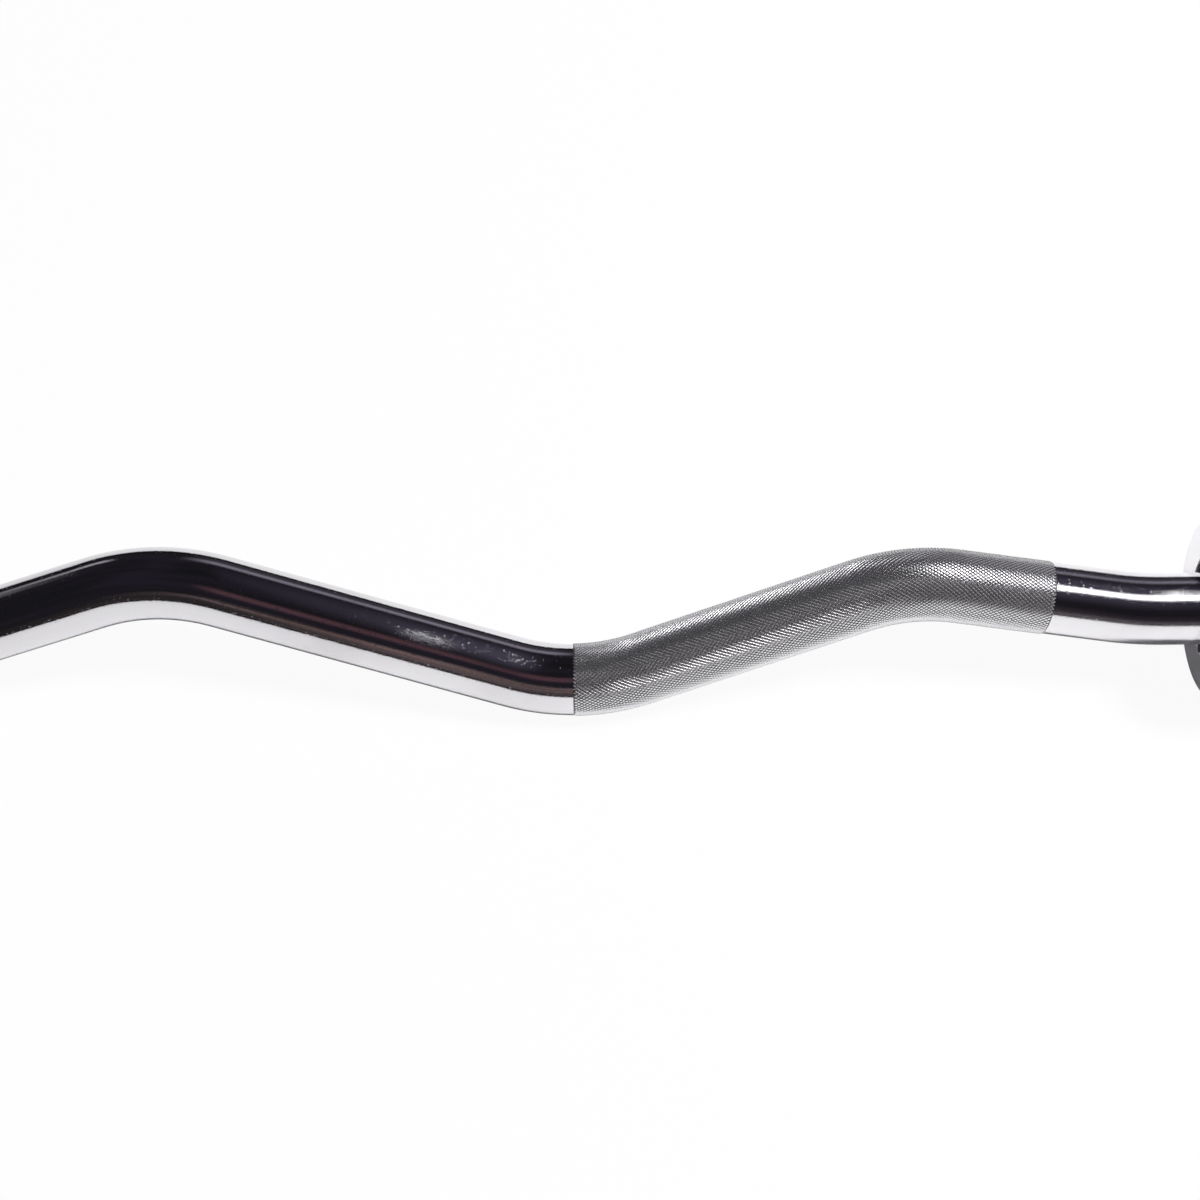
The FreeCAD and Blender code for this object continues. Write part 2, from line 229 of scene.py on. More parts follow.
class BarLine:
    """The bent centreline, as straight runs and round bends in one leaning plane.

    The runs join the corners, and a bend of radius R at a corner that turns the run by an angle takes
    R tan(angle / 2) off each side. Along a run of curvature k the heading grows by k per metre, so a point at
    distance d into it lies on the chord of length d sin(kd / 2) / (kd / 2) at the heading half way along.
    Distances are measured from the middle of the bar.
    """

    def __init__(self, bar, knurl):
        reach = np.cumsum([0, bar.centre_to_low, bar.low_to_high, bar.high_to_end])
        half = np.column_stack((reach, (bar.centre_rise, -bar.low_drop, bar.high_rise, 0)))
        half = np.vstack((half, (SHAFT_END, 0)))
        corners = np.vstack((half[:0:-1] * (-1, 1), half))
        legs = np.diff(corners, axis=0)
        heading = np.arctan2(legs[:, 1], legs[:, 0])
        turn = np.diff(heading)
        outer = [bar.end_bend_radius, bar.bend_radius, bar.bend_radius]
        radius = np.array(outer + [bar.bend_radius] + outer[::-1])
        trim = np.concatenate(([0], radius * np.tan(np.abs(turn) / 2), [0]))
        straight = np.hypot(legs[:, 0], legs[:, 1]) - trim[:-1] - trim[1:]
        self.lengths = np.zeros(2 * len(legs) - 1)
        self.lengths[0::2] = straight
        self.lengths[1::2] = radius * np.abs(turn)
        self.curvature = np.zeros_like(self.lengths)
        self.curvature[1::2] = np.sign(turn) / radius
        self.heading = np.concatenate(([heading[0]], heading[0] + np.cumsum(self.curvature * self.lengths)))[:-1]
        self.starts = np.concatenate(([0], np.cumsum(self.lengths)))[:-1]
        self.half_length = self.lengths.sum() / 2
        steps = self.chord(self.heading, self.curvature, self.lengths)
        self.points = corners[0] + np.vstack(((0, 0), np.cumsum(steps, axis=0)[:-1]))
        # The low bends lean until they meet the floor under the collars
        bends = np.linspace(0, self.half_length, 4001)
        drop = -self.flat(bends)[0][:, 1].min()
        crest = bar.shaft_diameter / 2 + knurl.crest_height
        self.lean = math.acos(min(1, (COLLAR_RADIUS - crest) / drop))
        self.low_point = bends[self.flat(bends)[0][:, 1].argmin()]

    @staticmethod
    def chord(heading, curvature, distance):
        half_turn = curvature * distance / 2
        reach = distance * np.sinc(half_turn / np.pi)
        return np.column_stack((reach * np.cos(heading + half_turn), reach * np.sin(heading + half_turn)))

    def flat(self, distance):
        """Points and headings in the bends' own plane."""
        place = np.asarray(distance) + self.half_length
        run = np.clip(np.searchsorted(self.starts, place, side="right") - 1, 0, len(self.starts) - 1)
        into = place - self.starts[run]
        point = self.points[run] + self.chord(self.heading[run], self.curvature[run], into)
        return point, self.heading[run] + self.curvature[run] * into

    def skin(self, distance, turn, radius):
        """Points on a round bar of the given radius: the centreline's point, plus the radius times the turn's cosine
        across the bar in the bends' plane, and times its sine along that plane's normal."""
        distance, turn, radius = np.broadcast_arrays(distance, turn, radius)
        shape = distance.shape
        distance, turn, radius = distance.ravel(), turn.ravel(), radius.ravel()
        point, heading = self.flat(distance)
        x = point[:, 0] - radius * np.cos(turn) * np.sin(heading)
        rise = point[:, 1] + radius * np.cos(turn) * np.cos(heading)
        aside = radius * np.sin(turn)
        y = rise * math.sin(self.lean) - aside * math.cos(self.lean)
        z = rise * math.cos(self.lean) + aside * math.sin(self.lean) + AXIS_HEIGHT
        return np.column_stack((x, y, z)).reshape(shape + (3,))


def unbent(distance, turn, radius):
    """The same points with the bar straightened, for patterns that follow it."""
    distance, turn, radius = np.broadcast_arrays(distance, turn, radius)
    return np.stack((distance, radius * np.cos(turn), radius * np.sin(turn)), axis=-1)


def quads(rows, columns, rows_wrap=False):
    """Four-cornered faces between neighbouring rows and columns of a grid whose columns close on themselves."""
    row = np.arange(rows if rows_wrap else rows - 1)[:, None]
    column = np.arange(columns)[None, :]
    after = (row + 1) % rows
    beside = (column + 1) % columns
    corners = (row * columns + column, row * columns + beside, after * columns + beside, after * columns + column)
    return np.stack(np.broadcast_arrays(*corners), axis=-1).reshape(-1, 4)


def end_fans(count, columns):
    """Triangles that join the first and last rings of a grid of count points to the two poles that follow them."""
    ring = np.arange(columns)
    beside = (ring + 1) % columns
    last = count - columns
    first_fan = np.column_stack((np.full(columns, count), beside, ring))
    last_fan = np.column_stack((np.full(columns, count + 1), last + ring, last + beside))
    return first_fan, last_fan


def volume(points, faces):
    """Signed volume of a closed skin: a sixth of the box product of each triangle's corners."""
    a, b, c = points[faces[:, 0]], points[faces[:, 1]], points[faces[:, 2]]
    total = np.einsum("ij,ij->i", a, np.cross(b, c)).sum()
    if faces.shape[1] == 4:
        total += volume(points, faces[:, (0, 2, 3)]) * 6
    return total / 6


def make_piece(name, points, face_sets, sharp_degrees, vectors=None, numbers=None):
    """A mesh object at the origin from points and arrays of faces, turned outwards, smooth except at sharp edges."""
    face_sets = [faces for faces in face_sets if len(faces)]
    if sum(volume(points, faces) for faces in face_sets) < 0:
        face_sets = [faces[:, ::-1] for faces in face_sets]
    mesh = bpy.data.meshes.new(name)
    mesh.from_pydata(points.tolist(), [], [face for faces in face_sets for face in faces.tolist()])
    if mesh.validate():
        raise RuntimeError(name + " has faulty faces")
    mesh.shade_smooth()
    mesh.set_sharp_from_angle(angle=math.radians(sharp_degrees))
    for kind, field, attributes in (("FLOAT_VECTOR", "vector", vectors), ("FLOAT", "value", numbers)):
        for key, values in (attributes or {}).items():
            data = mesh.attributes.new(key, kind, "POINT").data
            data.foreach_set(field, values.astype(np.float32).ravel())
    piece = bpy.data.objects.new(name, mesh)
    bpy.context.scene.collection.objects.link(piece)
    return piece


def place_piece(piece, material, body, slot, *nodes):
    piece.data.materials.append(material)
    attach(piece, body)
    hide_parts(*nodes)


def rounded_outline(corners, steps=7):
    """A (place, radius) outline whose corners carry their own rounding: each becomes points of an arc that is
    tangent to both sides, with one more point a little way along each side to keep the flats flat."""
    points = np.array([corner[:2] for corner in corners], float)
    rounding = np.array([corner[2] for corner in corners], float)
    outline = []
    for point, before, after, radius in zip(points, np.roll(points, 1, 0), np.roll(points, -1, 0), rounding):
        if radius == 0:
            outline.append(point[None])
            continue
        back = (before - point) / np.linalg.norm(before - point)
        on = (after - point) / np.linalg.norm(after - point)
        turn = math.pi - math.acos(np.clip(back @ on, -1, 1))
        trim = radius * math.tan(turn / 2)
        centre = point + (back + on) / np.linalg.norm(back + on) * radius / math.cos(turn / 2)
        share = np.linspace(0, 1, steps)[:, None]
        first, last = point + back * trim - centre, point + on * trim - centre
        arc = (np.sin((1 - share) * turn) * first + np.sin(share * turn) * last) / math.sin(turn)
        ease = radius / 4
        outline.append(np.vstack((point + back * (trim + ease), centre + arc, point + on * (trim + ease))))
    return np.vstack(outline)


def turned(name, corners, around, side):
    """A piece turned about the sleeves' axis: each outline point goes round a circle of its radius.
    Corners are (place, radius, rounding). The left end is the right end turned half way round the upright."""
    outline = rounded_outline(corners)
    turn = np.linspace(0, 2 * np.pi, around, endpoint=False)
    on_axis = outline[:, 1] < 1e-9
    body = outline[~on_axis]
    place, radius = body[:, :1], body[:, 1:]
    skin = np.stack(np.broadcast_arrays(place, radius * np.cos(turn), radius * np.sin(turn)), axis=-1)
    points = skin.reshape(-1, 3)
    if not on_axis.any():
        face_sets = [quads(len(body), around, rows_wrap=True)]
    else:
        face_sets = [quads(len(body), around), *end_fans(len(points), around)]
        poles = np.column_stack((outline[on_axis], np.zeros(2)))
        points = np.vstack((points, poles))
    points = points * (side, side, 1) + (0, 0, AXIS_HEIGHT)
    return make_piece(name, points, face_sets, SHARP_TURNED)


def add_node(tree, kind, inputs, output=0, **options):
    """A node with its options and inputs, of which sockets are linked and values are set."""
    node = tree.nodes.new("ShaderNode" + kind)
    for key, value in options.items():
        setattr(node, key, value)
    for key, value in inputs.items():
        if isinstance(value, bpy.types.NodeSocket):
            tree.links.new(value, node.inputs[key])
        else:
            node.inputs[key].default_value = value
    return node.outputs[output]


class Finish:
    """A node material under construction: its Principled surface and the nodes that feed it."""

    def __init__(self, name, metallic, values=None):
        self.material = bpy.data.materials.new(name)
        self.material.use_nodes = True
        self.nodes = self.material.node_tree.nodes
        self.links = self.material.node_tree.links
        self.surface = self.nodes["Principled BSDF"]
        self.surface.inputs["Metallic"].default_value = metallic
        for socket, value in (values or {}).items():
            self.surface.inputs[socket].default_value = value

    def add(self, kind, inputs, output=0, **options):
        return add_node(self.material.node_tree, kind, inputs, output, **options)

    def place(self, scale=(1, 1, 1), attribute=None):
        """Coordinates about the sleeves' axis, or those of the straightened bar."""
        if attribute:
            source = self.add("Attribute", {}, output="Vector", attribute_name=attribute)
        else:
            plain = self.add("TexCoord", {}, output="Object")
            source = self.add("VectorMath", {0: plain, 1: (0, 0, -AXIS_HEIGHT)})
        return self.add("Mapping", {"Vector": source, "Scale": scale})

    def turning(self, scale):
        """Coordinates that are the same all round the sleeves' axis: place along it and distance from it."""
        source = self.place()
        along = self.add("SeparateXYZ", {0: source}, output="X")
        flat = self.add("VectorMath", {0: source, 1: (0, 1, 1)}, operation="MULTIPLY")
        away = self.add("VectorMath", {0: flat}, output="Value", operation="LENGTH")
        both = self.add("CombineXYZ", {"X": along, "Y": away})
        return self.add("Mapping", {"Vector": both, "Scale": (scale, scale, scale)})

    def noise(self, place, scale, detail):
        return self.add("TexNoise", {"Vector": place, "Scale": scale, "Detail": detail})

    def spread(self, value, low, high, to_low=0.0, to_high=1.0):
        inputs = {"Value": value, "From Min": low, "From Max": high, "To Min": to_low, "To Max": to_high}
        return self.add("MapRange", inputs, interpolation_type="SMOOTHSTEP")

    def sum(self, *terms):
        total = terms[0]
        for term in terms[1:]:
            total = self.add("Math", {0: total, 1: term}, operation="ADD")
        return total

    def times(self, a, b):
        return self.add("Math", {0: a, 1: b}, operation="MULTIPLY")

    def blend(self, share, a, b):
        return self.add("Mix", {0: share, 6: (*a, 1), 7: (*b, 1)}, output=2, data_type="RGBA")

    def feed(self, socket, value):
        self.links.new(value, self.surface.inputs[socket])

    def bump(self, height, strength, distance):
        self.feed("Normal", self.add("Bump", {"Height": height, "Strength": strength, "Distance": distance}))


def polished_chrome(finish):
    """Chrome plate on the bent shaft: hazy handling marks, fine grain that is stronger on the smooth ends beside the
    collars, hairline wear along the bar, small pits and two smeared scuffs beside the right grip."""
    made = Finish("polished_chrome", 1)
    along = made.place(attribute="unbent")
    hair = made.place(scale=(30, 900, 900), attribute="unbent")
    reach = made.add("Math", {0: made.add("SeparateXYZ", {0: along}, output="X")}, operation="ABSOLUTE")
    end = made.spread(reach, 0.25, 0.35)
    haze = made.spread(made.noise(along, 22, 4), 0.45, 0.75)
    grain = made.noise(along, 2000, 3)
    hairline = made.noise(hair, 1, 3)
    pit = made.spread(made.noise(along, 1100, 1), 0.66, 0.74)
    dulled = made.sum(made.times(haze, 0.6), made.times(pit, 0.3))
    made.feed("Base Color", made.blend(dulled, finish.chrome, finish.chrome_haze))
    smear = made.place(scale=(0.3, 1, 1), attribute="unbent")
    rubbed = made.spread(made.noise(smear, 1700, 3), 0.3, 0.7, 0.45, 1)
    rough = made.sum(made.times(haze, 0.03), made.times(pit, 0.12), made.times(hairline, 0.03))
    for distance, half_length, share in SCUFFS:
        scale = (1 / half_length, SCUFF_SCALE, SCUFF_SCALE)
        centre = (-distance / half_length, -SCUFF_PLACE[0], -SCUFF_PLACE[1])
        patch = made.add("Mapping", {"Vector": along, "Location": centre, "Scale": scale})
        near = made.spread(made.add("VectorMath", {0: patch}, output="Value", operation="LENGTH"), 1.1, 0.1)
        rough = made.sum(rough, made.times(made.times(made.times(near, near), rubbed), share))
    made.feed("Roughness", made.sum(rough, 0.015))
    grainy = made.times(grain, made.sum(made.times(end, 0.5), 0.5))
    made.bump(made.sum(grainy, made.times(hairline, 0.1), made.times(pit, 0.4)), 1.0, 0.00003)
    return made.material


def knurled_chrome(finish):
    """Chrome plate on the knurl: dull and darker in the grooves, worn bright on the diamonds' tops. The darker colour
    in the grooves is partly dirt and partly painted shade of the grooves.
    """
    made = Finish("knurled_chrome", 0.93)
    along = made.place(attribute="unbent")
    height = made.add("Attribute", {}, output="Fac", attribute_name="height")
    patch = made.noise(along, 60, 3)
    # Low in the grooves and high on the tops: it sets the tops' wear and also the painted shade in the grooves
    worn = made.spread(made.sum(height, made.times(patch, 0.3)), 0.1, 0.9)
    # Base colour darkens towards the groove bottoms: partly dirt, partly painted shade
    made.feed("Base Color", made.blend(made.spread(worn, 0, 0.6), finish.groove_dirt_and_shade, finish.chrome))
    made.feed("Roughness", made.spread(worn, 0, 1, 0.36, 0.2))
    made.bump(made.noise(along, 2600, 2), 0.1, 0.00002)
    return made.material


def turned_chrome(finish):
    """Chrome plate over a turned face: faint tool rings round the axis, haze and specks."""
    made = Finish("turned_chrome", 1)
    place = made.place()
    rings = made.noise(made.turning(2600), 1, 3)
    haze = made.spread(made.noise(place, 40, 4), 0.45, 0.75)
    speck = made.spread(made.noise(place, 500, 1), 0.74, 0.78)
    dulled = made.sum(made.times(haze, 0.6), made.times(speck, 0.4))
    made.feed("Base Color", made.blend(dulled, finish.chrome, finish.chrome_haze))
    made.feed("Roughness", made.sum(made.times(haze, 0.06), made.times(speck, 0.25), made.times(rings, 0.06), 0.03))
    made.bump(rings, 0.12, 0.00003)
    return made.material


def sleeve_chrome(finish):
    """Chrome plate on the sleeves: lengthwise scuffs where plates slide on, over fine tool rings."""
    made = Finish("sleeve_chrome", 1)
    place = made.place()
    rings = made.noise(made.turning(1800), 1, 3)
    scuff = made.spread(made.noise(made.place(scale=(9, 420, 420)), 1, 4), 0.52, 0.72)
    haze = made.spread(made.noise(place, 30, 4), 0.4, 0.75)
    dulled = made.sum(made.times(haze, 0.4), made.times(scuff, 0.5))
    made.feed("Base Color", made.blend(dulled, finish.chrome, finish.chrome_haze))
    made.feed("Roughness", made.sum(made.times(haze, 0.06), made.times(scuff, 0.2), made.times(rings, 0.05), 0.04))
    made.bump(made.sum(made.times(rings, 0.5), made.times(scuff, -0.5)), 0.15, 0.00004)
    return made.material


def oiled_bronze(finish):
    """Sintered bronze: a grainy surface with oil-darkened pores."""
    made = Finish("oiled_bronze", 1)
    place = made.place()
    pores = made.spread(made.noise(place, 1400, 2), 0.5, 0.68)
    stain = made.noise(place, 90, 3)
    darkened = made.sum(made.times(pores, 0.7), made.times(stain, 0.25))
    made.feed("Base Color", made.blend(darkened, finish.bronze, finish.bronze_dark))
    made.feed("Roughness", made.spread(stain, 0.3, 0.7, 0.28, 0.45))
    made.bump(pores, 0.3, -0.00005)
    return made.material


def phosphated_steel(finish):
    """Dark phosphated spring steel: a fine crystalline grain with oil patches."""
    made = Finish("phosphated_steel", 0.7)
    place = made.place()
    grain = made.noise(place, 2200, 3)
    patch = made.noise(place, 160, 3)
    lighter = tuple(1.8 * share for share in finish.spring_steel)
    made.feed("Base Color", made.blend(made.times(grain, patch), finish.spring_steel, lighter))
    made.feed("Roughness", made.spread(patch, 0.3, 0.7, 0.35, 0.55))
    made.bump(grain, 0.2, 0.00003)
    return made.material


def ground_steel(finish):
    """Ground washers: straight grinding lines and a thin film of oil."""
    made = Finish("ground_steel", 1)
    lines = made.noise(made.place(scale=(300, 40, 2200)), 1, 3)
    film = made.noise(made.place(), 120, 3)
    darker = tuple(0.7 * share for share in finish.washer_steel)
    made.feed("Base Color", made.blend(made.times(lines, film), finish.washer_steel, darker))
    made.feed("Roughness", made.spread(lines, 0.3, 0.7, 0.22, 0.38))
    made.bump(lines, 0.2, 0.00003)
    return made.material


def black_rubber(finish):
    """Moulded black rubber: a matt, faintly mottled skin with mould rings."""
    made = Finish("black_rubber", 0, {"Specular IOR Level": 0.35})
    place = made.place()
    rings = made.noise(made.turning(2400), 1, 2)
    mottle = made.noise(place, 260, 4)
    dusty = tuple(2.2 * share for share in finish.rubber)
    made.feed("Base Color", made.blend(made.spread(mottle, 0.4, 0.7), finish.rubber, dusty))
    made.feed("Roughness", made.spread(mottle, 0.3, 0.7, 0.5, 0.68))
    made.bump(made.sum(made.times(rings, 0.6), made.times(mottle, 0.4)), 0.25, 0.00005)
    return made.material


def pale_floor(tone, glow, mirror_glow):
    """Pale board with a barely uneven tone. To the camera, and less so in mirrors, a share of it is plain white, which
    lifts the shadow without more light on the bar."""
    made = Finish("pale_floor", 0, {"Specular IOR Level": 0.0, "Roughness": 1.0})
    place = made.add("TexCoord", {}, output="Object")
    shade = made.spread(made.noise(place, 3, 3), 0.3, 0.7)
    lower = tuple(0.985 * share for share in tone)
    made.feed("Base Color", made.blend(shade, lower, tone))
    path = made.nodes.new("ShaderNodeLightPath")
    direct = made.sum(path.outputs["Is Camera Ray"], path.outputs["Is Transmission Ray"])
    mirrored = made.times(path.outputs["Is Glossy Ray"], mirror_glow)
    share = made.add("Math", {0: made.times(direct, glow), 1: mirrored}, operation="MAXIMUM")
    white = made.add("Emission", {"Color": (1, 1, 1, 1), "Strength": 1.0})
    both = made.add("MixShader", {0: share, 1: made.surface.outputs[0], 2: white})
    made.links.new(both, made.nodes["Material Output"].inputs["Surface"])
    return made.material


def settings():
    return bpy.context.scene.curl_bar


def both_ends(stem, outline, material, slot, node):
    """The same turned piece at the left and right ends, each of which rides on its sleeve."""
    for name, side in (("left", -1), ("right", 1)):
        piece = turned(name + "_" + stem, outline, settings().sleeve.around, side)
        place_piece(piece, material, name + "_sleeve", slot, name + "_" + node)


def grip_ends(line, knurl):
    """Distances from the middle at which a grip starts and ends."""
    collar = line.half_length - (SHAFT_END - COLLAR_FACE)
    return line.low_point, collar - knurl.end_gap


class CURLBAR_OT_smooth_shaft(bpy.types.Operator):
    """Builds the smooth bent shaft with its journals, sunk under the two grips"""

    bl_idname = "curl_bar.smooth_shaft"
    bl_label = "Smooth Shaft"

    def execute(self, context):
        bar, knurl = settings().bar, settings().knurl
        line = BarLine(bar, knurl)
        grip_start, grip_end = grip_ends(line, knurl)
        smooth = bar.shaft_diameter / 2
        sunk = smooth - knurl.depth
        journal = bar.journal_diameter / 2
        end = line.half_length
        shoulder = end - (SHAFT_END - COLLAR_FACE) + bar.shoulder
        # The radius along the right half, as runs of (from, to, radius, number of points)
        runs = (
            (MIDDLE_STEP, grip_start, smooth, 90),
            (grip_start, grip_end, sunk, 60),
            (grip_end, shoulder - SHOULDER_BEVEL, smooth, 40),
            (shoulder, shoulder, smooth - SHOULDER_BEVEL, 1),
            (shoulder, end - JOURNAL_BEVEL, journal, 12),
            (end, end, journal - JOURNAL_BEVEL, 1),
        )
        distance = np.concatenate([np.linspace(begin, stop, count) for begin, stop, _, count in runs])
        radius = np.concatenate([np.full(count, share) for _, _, share, count in runs])
        distance = np.concatenate((-distance[::-1], distance))[:, None]
        radius = np.concatenate((radius[::-1], radius))[:, None]
        turn = np.linspace(0, 2 * np.pi, bar.around, endpoint=False)
        skin = line.skin(distance, turn, radius).reshape(-1, 3)
        straight = unbent(distance, turn, radius).reshape(-1, 3)
        poles = line.skin(np.array((-end, end)), np.zeros(2), np.zeros(2))
        points = np.vstack((skin, poles))
        straight = np.vstack((straight, ((-end, 0, 0), (end, 0, 0))))
        faces = [quads(len(distance), bar.around), *end_fans(len(skin), bar.around)]
        piece = make_piece("smooth_shaft", points, faces, SHARP_TURNED, {"unbent": straight})
        place_piece(piece, polished_chrome(settings().finish), "bar", "shaft_chrome", "shaft")
        return {"FINISHED"}


class CURLBAR_OT_knurled_grips(bpy.types.Operator):
    """Builds the two grips, each a band of cut diamonds round the bent shaft"""

    bl_idname = "curl_bar.knurled_grips"
    bl_label = "Knurled Grips"

    def execute(self, context):
        bar, knurl = settings().bar, settings().knurl
        line = BarLine(bar, knurl)
        start, end = grip_ends(line, knurl)
        material = knurled_chrome(settings().finish)
        for name, begin, stop in (("left_grip", -end, -start), ("right_grip", start, end)):
            piece = self.grip(name, line, bar, knurl, begin, stop)
            place_piece(piece, material, "bar", "shaft_chrome", "shaft")
        return {"FINISHED"}

    def grip(self, name, line, bar, knurl, begin, stop):
        """A band of diamonds on a lattice of half diamonds, with row i along the bar and column j round it.

        Where i + j is even, two grooves cross at the root radius. Where it is odd, a diamond has its top, a low
        crown whose peak is at the crest radius and whose four corners lie a share of the way to the four crossings
        round it. Four flanks join the corners to those crossings. Both ends close with a step down to an inner wall.
        """
        crest = bar.shaft_diameter / 2 + knurl.crest_height
        root = crest - knurl.depth
        inner = root - GRIP_WALL
        around = 2 * round(2 * math.pi * crest * math.cos(knurl.line_angle) / knurl.line_spacing)
        rows = 2 * round((stop - begin) * math.sin(knurl.line_angle) / knurl.line_spacing) + 1
        step = (stop - begin) / (rows - 1)
        row, column = np.meshgrid(np.arange(rows), np.arange(around), indexing="ij")
        crossing = (row + column) % 2 == 0
        number = np.cumsum(crossing.ravel()).reshape(crossing.shape) - 1
        inside = ~crossing & (row > 0) & (row < rows - 1)
        i, j = row[inside], column[inside]
        left, right = number[i - 1, j], number[i + 1, j]
        below, above = number[i, (j - 1) % around], number[i, (j + 1) % around]
        share = knurl.top_share
        top_row = np.concatenate((i - share, i + share, i, i, i))
        top_column = np.concatenate((j, j, j - share, j + share, j))
        crossings = crossing.sum()
        top = crossings + np.arange(len(i))
        top_left, top_right, top_below, top_above, peak = (top + k * len(i) for k in range(5))
        crowns = [
            np.column_stack((top_left, top_below, peak)),
            np.column_stack((top_below, top_right, peak)),
            np.column_stack((top_right, top_above, peak)),
            np.column_stack((top_above, top_left, peak)),
        ]
        flanks = [
            np.column_stack((left, below, top_below, top_left)),
            np.column_stack((below, right, top_right, top_below)),
            np.column_stack((right, above, top_above, top_right)),
            np.column_stack((above, left, top_left, top_above)),
        ]
        # Half diamonds at both ends stay at the root radius
        odd = np.arange(1, around, 2)
        first_low, first_high = number[0, odd - 1], number[0, (odd + 1) % around]
        last_low, last_high = number[-1, odd - 1], number[-1, (odd + 1) % around]
        start_fill = np.column_stack((first_low, number[1, odd], first_high))
        end_fill = np.column_stack((last_high, number[-2, odd], last_low))
        # Inner wall, on every other column, from end to end
        wall_rows = 41
        wall_row, wall_column = np.meshgrid(np.linspace(0, rows - 1, wall_rows), np.arange(0, around, 2), indexing="ij")
        wall_start = crossings + 5 * len(i)
        wall = quads(wall_rows, around // 2)[:, ::-1] + wall_start
        wall_first = wall_start + np.arange(around // 2)
        wall_last = wall_first + (wall_rows - 1) * (around // 2)
        start_step = np.column_stack((first_high, np.roll(wall_first, -1), wall_first, first_low))
        end_step = np.column_stack((last_low, wall_last, np.roll(wall_last, -1), last_high))
        place = np.concatenate((row[crossing], top_row, wall_row.ravel()))
        turn = np.concatenate((column[crossing], top_column, wall_column.ravel())) * 2 * np.pi / around
        top_radius = np.repeat((crest - knurl.crown, crest), (4 * len(i), len(i)))
        radius = np.concatenate((np.full(crossings, root), top_radius, np.full(wall_row.size, inner)))
        distance = begin + place * step
        height = np.concatenate((np.zeros(crossings), np.ones(5 * len(i)), np.zeros(wall_row.size)))
        points = line.skin(distance, turn, radius)
        faces = [*crowns, *flanks, start_fill, end_fill, wall, start_step, end_step]
        straight = unbent(distance, turn, radius)
        return make_piece(name, points, faces, SHARP_KNURL, {"unbent": straight}, {"height": height})


class CURLBAR_OT_collars(bpy.types.Operator):
    """Builds the two round collars that stop the plates"""

    bl_idname = "curl_bar.collars"
    bl_label = "Collars"

    def execute(self, context):
        sleeve = settings().sleeve
        material = turned_chrome(settings().finish)
        mouth = SEAL_RADIUS + FIT_GAP
        pocket = COLLAR_BACK - sleeve.pocket
        outline = (
            (COLLAR_FACE, mouth + sleeve.mouth_chamfer, 0),
            (COLLAR_FACE, COLLAR_RADIUS, sleeve.collar_rounding),
            (COLLAR_BACK, COLLAR_RADIUS, sleeve.collar_rounding),
            (COLLAR_BACK, SLEEVE_RADIUS + FIT_GAP, 0),
            (pocket, SLEEVE_RADIUS + FIT_GAP, 0),
            (pocket, sleeve.spigot_radius + FIT_GAP, 0),
            (SEAL_BACK, sleeve.spigot_radius + FIT_GAP, 0),
            (SEAL_BACK, mouth, 0),
            (COLLAR_FACE + sleeve.mouth_chamfer, mouth, 0),
        )
        both_ends("collar", outline, material, "collar_chrome", "inner_collar")
        return {"FINISHED"}


class CURLBAR_OT_sleeves(bpy.types.Operator):
    """Builds the two tubes that plates slide on to"""

    bl_idname = "curl_bar.sleeves"
    bl_label = "Sleeves"

    def execute(self, context):
        sleeve = settings().sleeve
        material = sleeve_chrome(settings().finish)
        seat = SEAT_RADIUS + FIT_GAP
        bore = CAP_RADIUS + FIT_GAP
        relief = seat - sleeve.relief_step
        pocket = COLLAR_BACK - sleeve.pocket
        inner_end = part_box("right_inner_bushing")[1].x
        outer_start = bushing_low.x
        outline = (
            (SEAL_BACK, seat, 0),
            (SEAL_BACK, sleeve.spigot_radius, 0),
            (pocket, sleeve.spigot_radius, 0),
            (pocket, sleeve.neck_radius, 0),
            (COLLAR_BACK, sleeve.neck_radius, 0),
            (COLLAR_BACK, SLEEVE_RADIUS, 0),
            (SLEEVE_END - sleeve.sleeve_chamfer, SLEEVE_RADIUS, LEAD_ROUNDING),
            (SLEEVE_END, SLEEVE_RADIUS - sleeve.sleeve_chamfer, RIM_ROUNDING),
            (SLEEVE_END, bore + BORE_BEVEL, BORE_ROUNDING),
            (SLEEVE_END - BORE_BEVEL, bore, BORE_ROUNDING),
            (CLIP_BACK + SIDE_GAP, bore, 0),
            (CLIP_BACK + SIDE_GAP, bore + sleeve.groove_depth, 0),
            (CAP_FACE, bore + sleeve.groove_depth, 0),
            (CAP_FACE, bore, 0),
            (CAP_SEAT, bore, 0),
            (CAP_SEAT, seat, 0),
            (outer_start, seat, 0),
            (outer_start, relief, 0),
            (inner_end, relief, 0),
            (inner_end, seat, 0),
        )
        both_ends("sleeve", outline, material, "sleeve_chrome", "sleeve_tube")
        return {"FINISHED"}


class CURLBAR_OT_end_caps(bpy.types.Operator):
    """Builds the two dished discs that close the sleeves"""

    bl_idname = "curl_bar.end_caps"
    bl_label = "End Caps"

    def execute(self, context):
        sleeve = settings().sleeve
        material = turned_chrome(settings().finish)
        ring_low, ring_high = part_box("right_end_cap_o_ring")
        groove = CAP_RADIUS - RING_GROOVE
        dish = CAP_RADIUS - sleeve.cap_rim
        outline = (
            (CAP_SEAT, 0, 0),
            (CAP_SEAT, CAP_RADIUS, CAP_ROUNDING),
            (ring_low.x - SIDE_GAP, CAP_RADIUS, 0),
            (ring_low.x - SIDE_GAP, groove, 0),
            (ring_high.x + SIDE_GAP, groove, 0),
            (ring_high.x + SIDE_GAP, CAP_RADIUS, 0),
            (CAP_FACE, CAP_RADIUS, CAP_ROUNDING),
            (CAP_FACE, dish, RIM_ROUNDING),
            (CAP_FACE - sleeve.cap_dish, dish - sleeve.cap_dish, RIM_ROUNDING),
            (CAP_FACE - sleeve.cap_dish, 0, 0),
        )
        both_ends("cap", outline, material, "collar_chrome", "end_cap")
        return {"FINISHED"}


